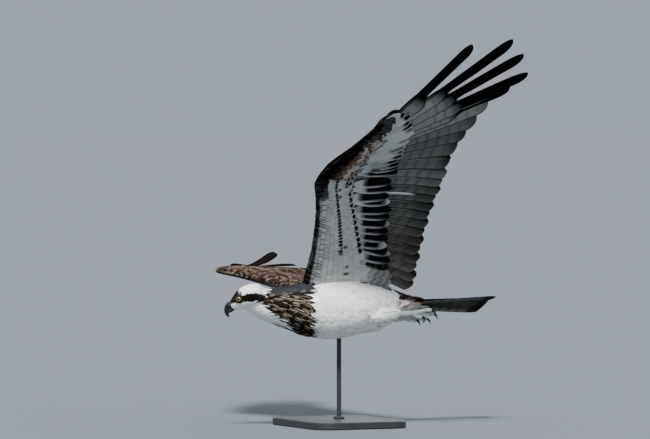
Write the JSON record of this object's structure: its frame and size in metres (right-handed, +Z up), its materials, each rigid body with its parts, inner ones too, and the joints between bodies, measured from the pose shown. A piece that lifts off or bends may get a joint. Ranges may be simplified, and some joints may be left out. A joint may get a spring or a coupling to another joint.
{
  "type": "osprey model on a display stand",
  "caption": "Life-size osprey in banked flight with spread wings and tucked feet, held by one rod on a flat display stand.",
  "frame": {"origin": "middle of the underside of the stand's base, on the floor", "axes": "+Z up; the bird heads along -Y with its left side towards +X, and is banked 20 degrees about Y with the left wing raised"},
  "size_m": [1.1395, 0.5569, 0.7528],
  "materials": {
    "white_feathers": "matt, soft",
    "brown_feathers": "matt, soft",
    "horn": "semi-gloss",
    "cere": "smooth skin",
    "eye": "wet gloss",
    "foot_scales": "scaled skin",
    "stand": "satin"
  },
  "bodies": {
    "root": {"bill_lower": "horn", "bill_upper": "horn", "cere": "cere", "claw_hind_left": "horn", "claw_hind_right": "horn", "claw_inner_left": "horn", "claw_inner_right": "horn", "claw_middle_left": "horn", "claw_middle_right": "horn", "claw_outer_left": "horn", "claw_outer_right": "horn", "eye_left": "eye", "eye_right": "eye", "foot_left": "foot_scales", "foot_right": "foot_scales", "head": "white_feathers", "neck": "white_feathers", "stand_base": "stand", "stand_rod": "stand", "tail": "brown_feathers", "thigh_left": "white_feathers", "thigh_right": "white_feathers", "torso": "white_feathers", "wing_left": "brown_feathers", "wing_right": "brown_feathers"}
  },
  "joints": []
}
